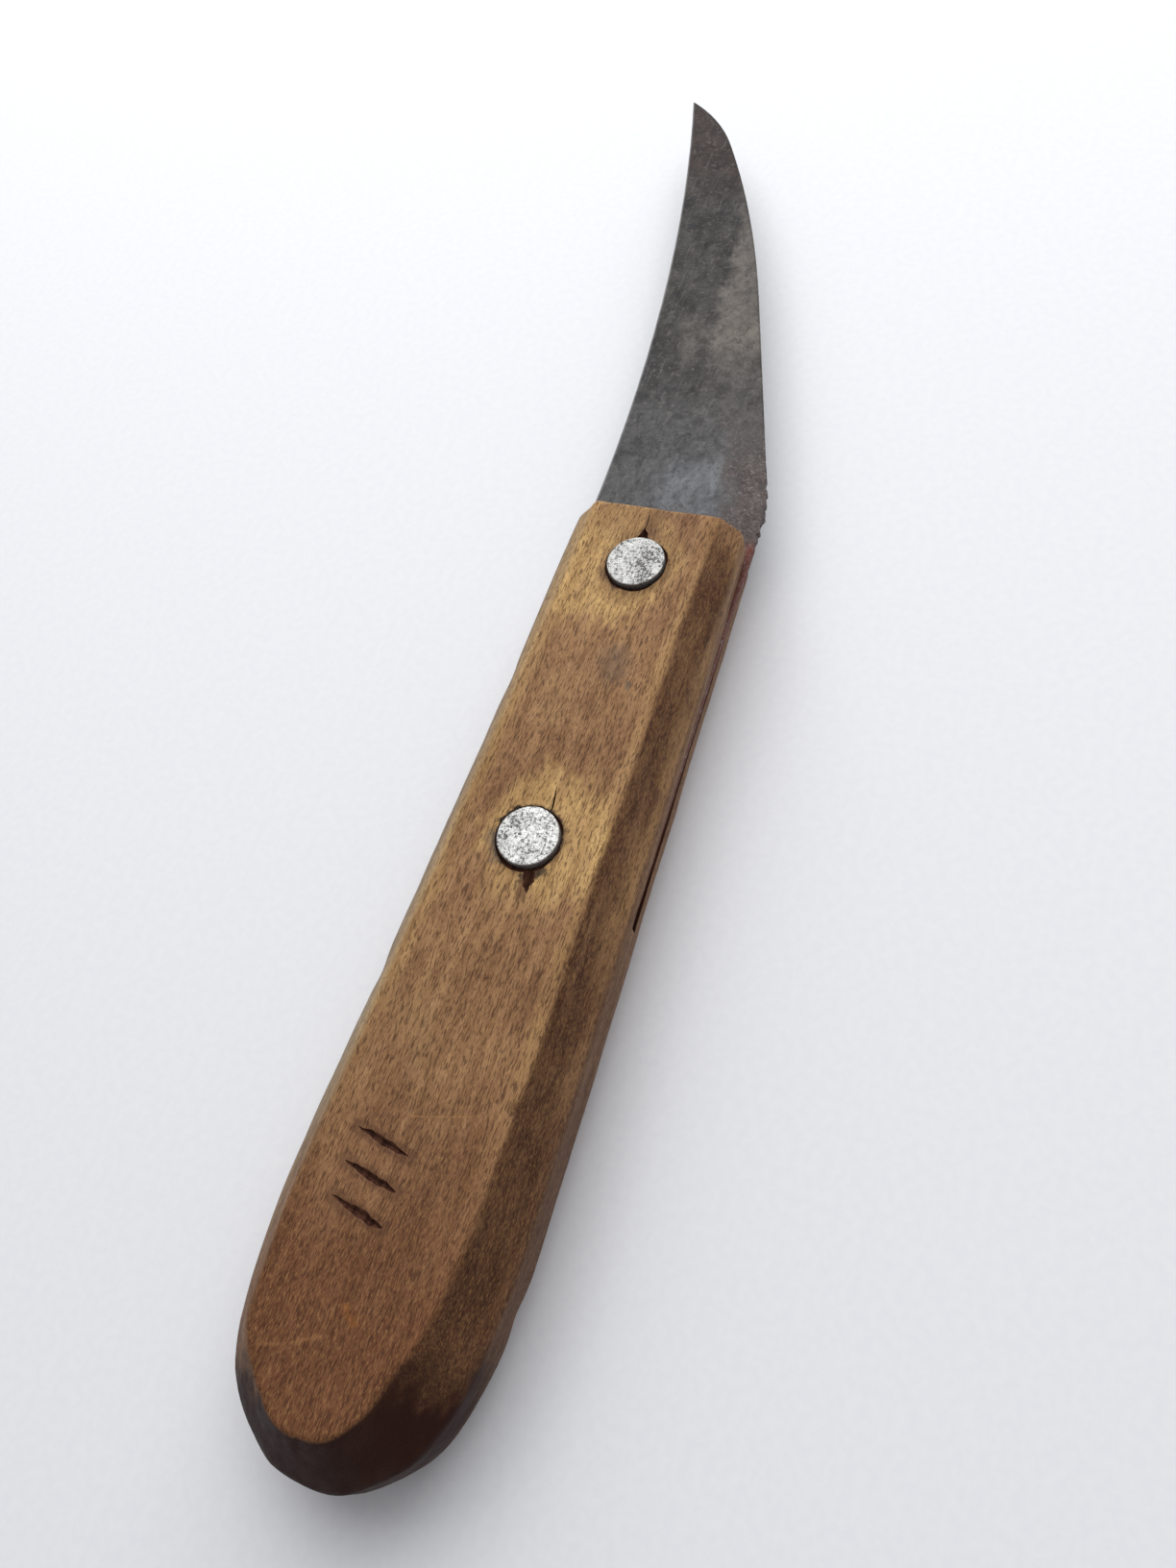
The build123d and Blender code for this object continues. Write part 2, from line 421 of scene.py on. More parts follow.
def wood_grain(n):
    """Beech: streaks, short dark flecks and fibres, all along X. Each is 0 to 1."""
    sway = n.noise((0.03, 0.12, 0.12), 2.0)
    lean = n.add("ShaderNodeCombineXYZ", {"Y": n.math("MULTIPLY", sway, 2.0 * MM)}).outputs[0]
    bent = n.vector("ADD", n.place, lean)
    streak = n.noise((0.05, 1.0, 1.0), 5.0, 0.6, bent)
    fleck = n.step(n.noise((0.95, 6.0, 6.0), 2.0, 0.5, bent), 0.53, 0.63)
    fibre = n.noise((2.0, 13.0, 13.0), 2.0, 0.6, bent)
    return streak, fleck, fibre


# Colours of the materials, in 0-255 screen values.
WOOD = {
    "dark": (134, 96, 67), "light": (165, 125, 88), "butt": (115, 73, 49), "wear_and_highlight": (224, 184, 121),
    "grey": (160, 143, 116), "side": (120, 88, 68), "stain_and_shade": (69, 37, 24), "streak": (128, 92, 66),
    "mottle": (150, 118, 92), "worm": (132, 98, 62), "fibre": (230, 178, 112), "fleck": (64, 38, 26),
    "soot": (45, 18, 8), "grime": (44, 24, 18), "cut": (78, 50, 38),
}
STEEL = {
    "dark": (30, 29, 30), "light": (53, 51, 49), "low": (63, 62, 62), "warm": (42, 31, 28),
    "pale": (98, 92, 87), "heel_sheen": (98, 100, 104), "patch": (32, 31, 31), "pit": (33, 31, 31),
    "grain": (118, 113, 107), "across": (112, 109, 106), "along": (116, 113, 110),
    "speck": (122, 115, 108), "honed": (150, 150, 150),
}
RUST = {
    "dark": (80, 69, 67), "light": (104, 95, 92), "red": (112, 62, 50), "crust": (152, 145, 141),
    "pit": (54, 42, 41),
}
RIVET = {
    "light": (220, 220, 217), "grey": (198, 198, 195), "dull": (150, 149, 147), "filed": (112, 111, 110),
    "worm": (104, 102, 100), "pit": (60, 58, 56),
}
PAPER = {"dark": (236, 237, 241), "light": (239, 240, 243)}


def make_wood():
    """Bare beech, in the zones that paint_handle() lays out."""
    n = Nodes("worn_beech")
    streak, fleck, fibre = wood_grain(n)
    blotch = n.noise((0.10, 0.22, 0.22), 5.0, 0.65)
    mottle = n.noise((0.35, 1.1, 1.1), 5.0, 0.65)
    worm = n.noise((2.2, 3.4, 3.4), 3.0, 0.6, distortion=1.2)
    yellowed = n.math("MULTIPLY", n.painted("wear_and_highlight"), n.step(mottle, 0.35, 0.6, 0.45, 1.0))
    browned = n.math("MULTIPLY", n.painted("stain_and_shade"), n.step(mottle, 0.35, 0.62, 1.0, 0.6))
    wormed = n.math("MULTIPLY", yellowed, n.step(worm, 0.55, 0.38, 0.0, 0.6))
    base = n.mix(n.step(blotch, 0.38, 0.62), WOOD["dark"], WOOD["light"])
    base = n.mix(n.painted("butt"), base, WOOD["butt"])
    # Yellow wear round the rivets, and a painted highlight on the ridges.
    base = n.mix(yellowed, base, WOOD["wear_and_highlight"])
    base = n.mix(n.painted("grey"), base, WOOD["grey"])
    base = n.mix(n.painted("side"), base, WOOD["side"])
    # Brown stain on the spine side's bevel; below the rivets' heads, grime with painted shade.
    base = n.mix(browned, base, WOOD["stain_and_shade"])
    base = n.mix(n.step(streak, 0.3, 0.7, 0.0, 0.4), base, WOOD["streak"], "MULTIPLY")
    base = n.mix(n.step(mottle, 0.35, 0.75, 0.0, 0.3), base, WOOD["mottle"], "MULTIPLY")
    base = n.mix(wormed, base, WOOD["worm"])
    base = n.mix(n.step(fibre, 0.42, 0.75, 0.0, 0.24), base, WOOD["fibre"], "SCREEN")
    base = n.mix(n.math("MULTIPLY", fleck, 0.65), base, WOOD["fleck"])
    base = n.mix(n.painted("soot"), base, WOOD["soot"])
    base = add_top_marks(n, base)
    height = n.math("SUBTRACT", n.math("MULTIPLY", fibre, 0.5), fleck)
    n.set(Base_Color=base, Roughness=n.step(streak, 0.2, 0.8, 0.5, 0.68), Specular_IOR_Level=0.15)
    n.set(Normal=n.bump(height, 0.05, 0.6))
    return n.material


def add_top_marks(n, base):
    ragged = n.step(n.noise((1.3, 1.3, 1.3), 3.0, 0.6), 0.3, 0.7, -0.35 * MM, 0.35 * MM)
    for start, end, width, softness, strength, colour in TOP_MARKS:
        mark = n.near_line(start, end, width, softness, ragged)
        base = n.mix(n.math("MULTIPLY", mark, strength), base, colour)
    return base


def make_cut_wood():
    """The dark, greasy inside of cuts, seats and cracks."""
    n = Nodes("grimed_wood")
    streak = n.noise((0.1, 2.0, 2.0), 4.0)
    n.set(Base_Color=n.mix(n.step(streak, 0.3, 0.7), WOOD["grime"], WOOD["cut"]))
    n.set(Roughness=n.step(streak, 0.2, 0.8, 0.75, 0.95), Specular_IOR_Level=0.05)
    n.set(Normal=n.bump(streak, 0.1))
    return n.material


def patina(n, patch, grain, across):
    """The steel's colour where there is no rust: clouds, mottling and fine scratches, with a painted sheen by
    the heel.
    """
    cloudy = n.noise((0.08, 0.12, 0.12), 5.0, 0.62, distortion=0.8)
    along = n.noise((0.16, 4.5, 4.5), 3.0, 0.6, distortion=0.3)
    speck = n.noise((2.6, 2.6, 2.6), 4.0, 0.65)
    base = n.mix(n.step(cloudy, 0.42, 0.56), STEEL["dark"], STEEL["light"])
    # The last zone is a painted sheen by the heel; the others are the steel's own tones.
    for zone in ("low", "warm", "pale", "heel_sheen"):
        base = n.mix(n.painted(zone), base, STEEL[zone])
    base = n.mix(n.step(patch, 0.38, 0.72, 0.0, 0.45), base, STEEL["patch"])
    base = n.mix(n.step(grain, 0.5, 0.34, 0.0, 0.5), base, STEEL["pit"])
    base = n.mix(n.step(grain, 0.52, 0.7, 0.0, 0.25), base, STEEL["grain"])
    base = n.mix(n.step(across, 0.5, 0.8, 0.0, 0.18), base, STEEL["across"])
    base = n.mix(n.step(along, 0.6, 0.72, 0.0, 0.25), base, STEEL["along"])
    return n.mix(n.step(speck, 0.6, 0.72, 0.0, 0.3), base, STEEL["speck"])


def rust_shade(n, patch, worm):
    """Grey-brown rust, redder on the tang, with light crusts and dark pits."""
    shade = n.mix(n.step(patch, 0.4, 0.65), RUST["dark"], RUST["light"])
    shade = n.mix(n.painted("red"), shade, RUST["red"])
    shade = n.mix(n.step(worm, 0.52, 0.66, 0.0, 0.6), shade, RUST["crust"])
    return n.mix(n.step(worm, 0.46, 0.32, 0.0, 0.75), shade, RUST["pit"])


def make_steel():
    """Old carbon steel, rusty by the heel and lighter along the cutting edge."""
    n = Nodes("patina_steel")
    patch = n.noise((0.4, 0.5, 0.5), 5.0, 0.65, distortion=0.5)
    grain = n.noise((1.3, 1.3, 1.3), 5.0, 0.72, distortion=0.8)
    across = n.noise((5.0, 0.45, 0.45), 4.0, 0.65)
    worm = n.noise((1.5, 1.15, 1.15), 4.0, 0.65, distortion=1.8)
    rust = n.math("MULTIPLY", n.painted("rust"), n.step(patch, 0.25, 0.5, 0.6, 1.0), clamp=True)
    base = n.mix(rust, patina(n, patch, grain, across), rust_shade(n, patch, worm))
    base = n.mix(n.painted("honed"), base, STEEL["honed"])
    smooth = n.step(patch, 0.3, 0.7, 0.42, 0.56)
    rough = n.math("ADD", smooth, n.math("MULTIPLY", rust, 0.3), clamp=True)
    n.set(Base_Color=base, Metallic=n.step(rust, 0.0, 1.0, 0.8, 0.15), Roughness=rough)
    scratches = n.bump(n.math("ADD", across, grain), 0.012, 0.5)
    n.set(Normal=n.bump(n.math("MULTIPLY", worm, rust), 0.25, 0.9, scratches))
    return n.material


def make_rivet_metal():
    """Bright heads, cross-hatched by wear and spotted with dark pits."""
    n = Nodes("rivet_metal")
    dirt = n.noise((0.38, 0.38, 0.38), 3.0, 0.6)
    specks = n.noise((3.2, 3.2, 3.2), 4.0, 0.7)
    spotted = n.math("ADD", specks, n.math("MULTIPLY", dirt, 0.35))
    dark = n.step(spotted, 0.68, 0.79)
    hatch = n.noise((1.1, 8.0, 8.0), 2.0)
    cross = n.noise((8.0, 1.1, 8.0), 2.0)
    worm = n.noise((2.6, 2.6, 2.6), 3.0, 0.6, distortion=1.4)
    filed = n.math("ADD", hatch, cross)
    base = n.mix(n.step(dirt, 0.35, 0.65), RIVET["light"], RIVET["grey"])
    base = n.mix(n.math("MULTIPLY", n.painted("dull"), 0.45), base, RIVET["dull"])
    base = n.mix(n.step(filed, 0.85, 1.2, 0.0, 0.4), base, RIVET["filed"])
    base = n.mix(n.step(worm, 0.5, 0.62, 0.0, 0.45), base, RIVET["worm"])
    base = n.mix(n.math("MULTIPLY", dark, 0.8), base, RIVET["pit"])
    rough = n.step(filed, 0.7, 1.3, 0.44, 0.58)
    n.set(Base_Color=base, Metallic=n.step(dark, 0.0, 1.0, 0.8, 0.4))
    n.set(Roughness=n.math("ADD", rough, n.math("MULTIPLY", dark, 0.25), clamp=True))
    n.set(Normal=n.bump(dark, -0.04, 0.5, n.bump(filed, 0.012, 0.5)))
    return n.material


def make_paper():
    n = Nodes("paper")
    fibre = n.noise((0.9, 0.9, 0.9), 4.0)
    n.set(Base_Color=n.mix(n.step(fibre, 0.3, 0.7), PAPER["dark"], PAPER["light"]))
    n.set(Roughness=0.9, Specular_IOR_Level=0.15, Normal=n.bump(fibre, 0.02, 0.3))
    return n.material


# ---------------------------------------------------------------- handle

def handle_rays():
    """Rays in plan that sweep once round the handle: a fan in front, a side, a fan at the butt, a side."""
    butt_centre = BUTT_X + HANDLE_HIGH[1]
    front_centre = FRONT_RIVET
    straight = np.arange(butt_centre, front_centre, MESH_STEP)
    fan = np.linspace(-90, 90, FAN_RAYS + 1)[:-1]
    ones = np.ones(len(straight))
    turns = np.radians(np.concatenate([fan, 90 * ones, 180 + fan, 270 * ones]))
    centres = [front_centre + 0 * fan, straight[::-1], butt_centre + 0 * fan, straight]
    origins = np.concatenate(centres)
    return np.stack([origins, 0 * origins], axis=1), np.stack([np.cos(turns), np.sin(turns)], axis=1)


def filled_in(stops):
    """Radius and height of every row. A stop is a radius, a height and the rows it takes to reach it."""
    rows = [(stops[0][0], stops[0][1] + 0 * stops[0][0])]
    for (r0, z0, _), (r1, z1, count) in zip(stops, stops[1:]):
        for i in range(1, count + 1):
            share = i / count
            rows.append((r0 + share * (r1 - r0), z0 + share * (z1 - z0) + 0 * r0))
    return [np.array(part) for part in zip(*rows)]


def soften(grid, softness):
    """Draws each row towards the middle of the rows above and below it."""
    for _ in range(SOFTENING_ROUNDS):
        middle = (grid[:-2] + grid[2:]) / 2 - grid[1:-1]
        grid[1:-1] += softness * middle


def ridge_shift(x, y):
    """How far outwards the butt's hand-cut top ridges lie from the CAD's regular ones."""
    at_butt = np.where(y > 0, 0.8, -1.1) * bell(x, -45.0, 6.0)
    return at_butt + 0.35 * bell(x, -30.0, 9.0) * np.sign(y)


def fullness(x, y):
    """How far the upper bevels swell out near the front end, more so on the spine side."""
    return np.where(y > 0, 0.8, 1.3) * ramp(x, 20.0, 50.0) * ramp(np.abs(y), 5.0, 9.0)


def handle_surface():
    """The handle's whole skin as a grid: one column for each ray, one row for each step down its side."""
    skin = triangles_mm("handle")
    origins, directions = handle_rays()

    def reach_at(height):
        return reach(section(skin, 2, height), origins, directions)

    band = reach_at(BAND_HIGH - SKIN)
    rim = origins + band[:, None] * directions
    x, y = rim[:, 0], rim[:, 1]
    top = reach_at(TOP - SKIN) + ridge_shift(x, y)
    shoulder = reach_at(TOP - FRONT_ROUNDING) + ridge_shift(x, y)
    groove = LIP * ramp(x, KERF_X - 0.5, KERF_X + 1.5)
    worn_lip = 0.2 * ramp(x, 42.0, 50.0) * ramp(-y, 5.0, 10.0)
    rounding_z = TOP - FRONT_ROUNDING
    stops = [
        (0 * band, TOP, 0),
        (top, TOP, 26),
        (shoulder, rounding_z, 2),
        ((shoulder + band) / 2 + fullness(x, y), (rounding_z + BAND_HIGH) / 2, 6),
        (band, BAND_HIGH, 6),
        (band - worn_lip, KERF_HIGH + LIP, 5),
        (band - groove - worn_lip, KERF_HIGH - LIP_HEIGHT, 2),
        (band - groove, KERF_LOW + LIP_HEIGHT, 2),
        (band, KERF_LOW - LIP, 2),
        (band, BAND_LOW, 5),
        (reach_at(FRONT_ROUNDING), FRONT_ROUNDING, 12),
        (reach_at(SKIN), 0.0, 2),
        (0 * band, 0.0, 16),
    ]
    radius, height = filled_in(stops)
    softness = 0.08 + (0.17 + 0.7 * ramp(x, -25.0, 40.0)) * np.abs(directions[:, 1]) ** 4
    soften(radius, softness)
    soften(height, softness)
    plan = origins[None] + radius[..., None] * directions[None]
    plan[..., 0] = np.clip(plan[..., 0], BUTT_X, FRONT_X)
    return np.concatenate([plan, height[..., None]], axis=2)


# Small knocks in the wood: place, radius and depth.
KNOCKS = [
    ((-35.5, -13.6, 6.0), 2.0, 0.35),
    ((-18.3, -9.0, 15.8), 0.7, 0.25),
    ((-47.0, -10.6, 10.6), 1.6, 0.15),
    ((20.5, -10.4, 13.4), 1.4, 0.2),
    ((-8.0, 12.6, 10.9), 2.4, 0.25),
    ((30.0, 11.8, 10.7), 1.8, 0.25),
]


def wear_handle(piece):
    """Hollows, waves and knocks that years of use left, all of them into the wood."""
    points, outward = points_mm(piece), normals(piece)
    depth = HOLLOWS * (1 + cloud(points, (14, 6, 6), 1)) + RIPPLES * (1 + cloud(points, (4, 1.6, 1.6), 2))
    for centre, radius, knock in KNOCKS:
        distance = np.linalg.norm(points - np.array(centre), axis=1)
        depth += knock * bell(distance, 0, radius)
    resting = ramp(points[:, 2], 1.2, 0.2)
    points -= outward * (depth * (1 - resting))[:, None]
    points[:, 2] = np.clip(points[:, 2], 0, TOP)
    move_points(piece, points)


def kerf_cutter(material):
    low = (KERF_X, 2 * HANDLE_LOW[1], KERF_LOW)
    high = (FRONT_X + 10, 2 * HANDLE_HIGH[1], KERF_HIGH)
    points = [(x, y, z) for x in (low[0], high[0]) for y in (low[1], high[1]) for z in (low[2], high[2])]
    faces = [(0, 1, 3, 2), (4, 6, 7, 5), (0, 4, 5, 1), (2, 3, 7, 6), (0, 2, 6, 4), (1, 5, 7, 3)]
    cutter = new_object("kerf_cutter", points, faces)
    cutter.data.materials.append(material)
    return cutter


def seat_cutter(place, material):
    """The hole for one rivet with a seat for each head, its edges worn unevenly."""
    head_top = box_mm(f"{place}_rivet_male")[1][2]
    head_low = box_mm(f"{place}_rivet_female")[0][2]
    upper, lower = head_top - HEAD_THICKNESS, head_low + HEAD_THICKNESS
    around = circle()
    ragged = SEAT_WEAR * (1 + cloud(around * 3 + RIVET_X[place], (1.6, 1.6, 1.6), 5))
    ragged += 0.22 * np.clip(around @ np.array([-0.9, -0.3, 0]), 0, 1) ** 2
    ragged = ragged[:, None]
    profile = [
        (SEAT_RADIUS + 1.6 * ragged, TOP + 1), (SEAT_RADIUS + 1.4 * ragged, TOP - 0.08),
        (SEAT_RADIUS + ragged, TOP - 0.35), (SEAT_RADIUS, upper), (HOLE_RADIUS, upper),
        (HOLE_RADIUS, lower), (SEAT_RADIUS, lower), (SEAT_RADIUS + SEAT_FLARE, -1),
    ]
    cutter = turned("seat_cutter", RIVET_X[place], profile, True)
    cutter.data.materials.append(material)
    return cutter


def groove_cutter(grooves, bluntness, material):
    """V-shaped grooves in the top face. Their ends are pointed at a bluntness of 1 and full near 0."""
    points, faces = [], []
    stations = 15
    for number, (start, end, width, depth) in enumerate(grooves):
        start, end = np.array([*start, 0.0]), np.array([*end, 0.0])
        across = np.cross((end - start) / np.linalg.norm(end - start), (0, 0, 1))
        first = len(points)
        for i in range(stations):
            share = i / (stations - 1)
            swell = math.sin(math.pi * (0.04 + 0.92 * share)) ** bluntness
            jitter = 0.16 * width * noise.noise(Vector((share * 7, number * 3.1, 0)))
            middle = start + share * (end - start) + across * jitter
            half = width / 2 * swell * (1 + OVERCUT)
            over = (0, 0, TOP + depth * OVERCUT)
            bottom = (0, 0, TOP - depth * swell)
            points += [middle - across * half + over, middle + across * half + over, middle + bottom]
        for i in range(stations - 1):
            a, b = first + 3 * i, first + 3 * (i + 1)
            faces += [(a, a + 1, b + 1, b), (a + 1, a + 2, b + 2, b + 1), (a + 2, a, b, b + 2)]
        last = first + 3 * (stations - 1)
        faces += [(first + 2, first + 1, first), (last, last + 1, last + 2)]
    cutter = new_object("groove_cutter", points, faces)
    cutter.data.materials.append(material)
    return cutter


class WoodZones:
    """Where the wood is worn yellow, yellowed by a painted highlight on its ridges, browned by the palm,
    greyed, stained, darkened by painted shade below the rivets' heads, or blackened, from 0 to 1.
    """

    def __init__(self, points):
        self.x, self.y, z = points.T
        self.large = cloud(points, (9, 5, 5), 11)
        self.fine = 1.6 * cloud(points, (2.6, 0.8, 0.8), 12)
        self.streaky = ramp(cloud(points, (16, 1.2, 1.2), 13), -0.5, 0.4)
        self.drop = TOP - z
        self.bevel = ramp(self.drop, 0.15, 0.45)
        self.down = self.drop / (TOP - BAND_HIGH)  # 0 at the top face, 1 at the bevel's lower ridge
        self.spine_side = ramp(-self.y, 2.0, 6.0)
        self.edge_side = 1 - self.spine_side

    def wear_and_highlight(self):
        """Yellow wear round the rivets and low on the spine side's bevel; a painted highlight on the top
        ridges and high on the other bevel.
        """
        x, y, large, bevel, down = self.x, self.y, self.large, self.bevel, self.down
        uneven = 1.4 * large + self.fine
        from_front = np.hypot((x - FRONT_RIVET - 0.5) * 0.9, y - 3.8) + uneven
        from_rear = np.hypot((x - REAR_RIVET - 0.5) * 0.85, y + 2.0) + uneven
        ridge = np.interp(x, (PALM_X, FRONT_X), RIDGE_WIDTH)
        flat = ramp(from_front, 10.0, 7.0) + 0.9 * ramp(from_rear, 8.5, 4.5)
        # Painted highlight: a lighter, yellower band just inside the top face's ridges.
        flat += 0.45 * bell(np.abs(y), ridge - 1.0, 0.9) * ramp(x, -30, -5) * (0.7 + 0.4 * large)
        flat *= (1 - bevel) * (1 - 0.6 * ramp(x, 48.0, 52.0))
        spine_bevel = bevel * self.spine_side * ramp(down + 0.15 * large, 0.5, 0.75) * ramp(x, -15, 15)
        # Painted highlight high on the cutting edge's side of the bevel, by its ridge.
        edge_bevel = bevel * self.edge_side * ramp(down, 0.7, 0.2) * ramp(x, -30, -10)
        return flat + 0.2 * spine_bevel + 1.1 * edge_bevel

    def butt(self):
        return ramp(self.x + 5 * self.large, -12.0, -42.0) * (1 - 0.5 * self.bevel)

    def grey(self):
        lower = 0.35 + 0.55 * ramp(self.down, 0.2, 0.7)
        return self.bevel * self.edge_side * lower * ramp(self.x, -48, -20)

    def side(self):
        return 0.8 * ramp(self.drop, 4.7, 5.5) * self.spine_side

    def stain_and_shade(self):
        """Brown stain along the spine side's bevel, and ragged rings below the rivets' heads: grime, with
        painted shade where the heads' shadows fall.
        """
        x, large, down = self.x, self.large, self.down
        spine_bevel = self.bevel * self.spine_side
        streaks = ramp(down + 0.22 * large, 0.95, 0.45) * (0.6 + 0.4 * self.streaky)
        stain_and_shade = spine_bevel * (streaks + 0.7 * ramp(x, 12, -28))
        stain_and_shade += 0.3 * spine_bevel * ramp(x, 28, 46) * ramp(down, 0.8, 0.4)
        stain_and_shade *= 1 - 0.75 * ramp(x + large, 50.5, 53.5)
        # Grime and painted shade: a dark crescent on the butt's side of each head, where its shadow falls.
        for rivet_x in RIVET_X.values():
            from_rivet = np.hypot(x - rivet_x, self.y) + 0.7 * self.fine
            stain_and_shade += 0.7 * (1 - self.bevel) * ramp(from_rivet, 4.7, 3.9) * ramp(x - rivet_x, 2.5, 0.0)
        return stain_and_shade

    def soot(self):
        """Black round the butt's end, fading out down the upright band."""
        x, large, fine, bevel, down = self.x, self.large, self.fine, self.bevel, self.down
        spine_side, edge_side = self.spine_side, self.edge_side
        from_middle = np.abs(np.minimum(self.y, 3))
        end = ramp(x + 4.0 * edge_side + 2.5 * large + 1.2 * fine - 0.3 * from_middle, -42.0, -48.5)
        soot = bevel * end * ramp(down, 2.3, 0.9) * (0.95 + 0.2 * large)
        soot += 0.55 * spine_side * ramp(down, 0.95, 1.1) * ramp(x + 2 * large, -34, -46)
        soot += 0.3 * bevel * edge_side * ramp(x + 3 * large, -42, -52)
        return soot


def paint_handle(piece):
    zones = WoodZones(points_mm(piece))
    # Wear, with a painted highlight on the ridges.
    paint(piece, "wear_and_highlight", zones.wear_and_highlight())
    paint(piece, "butt", zones.butt())
    paint(piece, "grey", zones.grey())
    paint(piece, "side", zones.side())
    # Stain, with grime and painted shade below the rivets' heads.
    paint(piece, "stain_and_shade", zones.stain_and_shade())
    paint(piece, "soot", zones.soot())


def make_handle(wood, cut_wood):
    surface = handle_surface()
    rows, columns, _ = surface.shape
    piece = new_object("handle_body", surface.reshape(-1, 3), grid_faces(rows, columns))
    merge_doubles(piece, 0.004)
    wear_handle(piece)
    piece.data.materials.append(wood)
    carve(piece, kerf_cutter(cut_wood))
    for place in RIVET_X:
        carve(piece, seat_cutter(place, cut_wood))
    carve(piece, groove_cutter(CRACKS, 0.8, cut_wood))
    carve(piece, groove_cutter(TALLY_CUTS, 0.4, cut_wood))
    merge_doubles(piece, 0.001)
    paint_handle(piece)
    smooth_shade(piece, 40)
    return piece


# ---------------------------------------------------------------- blade

def blade_stations():
    """Places along X for the blade's rings, closer together in front of the handle and at the tip."""
    tang = np.arange(BLADE_LOW[0] + 0.02, FRONT_X - 1, 1.0)
    body = np.arange(FRONT_X - 0.8, BLADE_HIGH[0] - 3, BLADE_STEP)
    tip = BLADE_HIGH[0] - 3 * (1 - np.linspace(0, 1, 24)) ** 1.6
    return np.concatenate([tang, body, tip[:-1], [BLADE_HIGH[0] - 0.01]])


def spine_wear(x):
    """How far the blade's back edge lies inside the CAD's: knocked by the heel, set back on the tang.

    It is a little below 0 where a burr beside a knock stands out.
    """
    in_front = x - FRONT_X
    knocked = ramp(in_front, 1.0, 2.5) * ramp(in_front, SCALLOP_LENGTH + 2, SCALLOP_LENGTH - 4)
    wave = abs(math.sin(math.pi * x / SCALLOP_PITCH + 2.4 * noise.noise(Vector((x * 0.5, 0, 0)))))
    strength = 1 + 0.9 * noise.noise(Vector((x * 0.4, 5.0, 0)))
    return knocked * strength * SCALLOP_DEPTH * (0.8 - wave) + TANG_RECESS * ramp(in_front, -2.0, -9.0)


def underside(cut, y):
    """Height of the blade's lower face at each y, from one section's points."""
    below = cut[cut[:, 1] < BLADE_HIGH[2] - SKIN]
    places, which = np.unique(np.round(below[:, 0], 3), return_inverse=True)
    lowest = np.full(len(places), BLADE_HIGH[2])
    np.minimum.at(lowest, which, below[:, 1])
    return np.interp(y, places, lowest)


def blade_rings(steel):
    """Closed rings round the blade: across the top to the edge, and back underneath to the spine."""
    shares = np.linspace(0, 1, BLADE_ROWS)
    shares = 0.5 * shares + 0.25 * (1 - np.cos(math.pi * shares))
    rings = []
    for x in blade_stations():
        cut = section(steel, 0, x).reshape(-1, 2)
        low, high = cut[:, 0].min(), cut[:, 0].max()
        low += spine_wear(x)
        y = low + shares * (high - low)
        bottom = underside(cut, y)
        from_edge, from_spine = high - y, y - low
        rounding = SPINE_DROP * ramp(from_spine, 0.25, 0.0)
        top = BLADE_HIGH[2] - EDGE_DROP * ramp(from_edge, 0.22, 0.0) - rounding
        bottom = np.minimum(bottom + rounding, top - 0.02)
        middle = np.linspace(top[0], bottom[0], 6)[1:-1]
        upper = np.stack([0 * y + x, y, top], axis=1)
        lower = np.stack([0 * y + x, y, bottom], axis=1)[::-1]
        wall = np.stack([0 * middle + x, 0 * middle + low, middle[::-1]], axis=1)
        rings.append(np.concatenate([upper, lower, wall]))
    return np.array(rings)


def rust_amount(points):
    """Rust along the spine near the heel and on the tang's edges."""
    x, y = points[:, :2].T
    spots = cloud(points, (2.5, 1.8, 1.8), 21)
    spine = np.where(x < FRONT_X + 8, BLADE_LOW[1], BLADE_LOW[1] + 0.32 * (x - FRONT_X - 8))
    heel = ramp(y - spine + 1.6 * spots, 8.5, 4.0) * ramp(x + 2 * spots, FRONT_X + 26, FRONT_X + 10)
    tang = ramp(x, FRONT_X + 1.5, FRONT_X - 0.2) * ramp(np.abs(y), 6.0, 8.0)
    return np.clip(heel + tang, 0, 1)


def wear_blade(piece):
    """Pits in the rust, and faces that are not quite flat."""
    points, outward = points_mm(piece), normals(piece)
    outside = ramp(points[:, 0], FRONT_X + 0.2, FRONT_X + 1.5)
    rust = rust_amount(points)
    pits = ramp(cloud(points, (0.8, 0.8, 0.8), 22, 2), 0.0, 0.5)
    waves = 0.03 * (1 + cloud(points, (12, 8, 8), 23))
    points -= outward * ((PIT_DEPTH * pits * rust + waves * 0.5) * outside)[:, None]
    move_points(piece, points)


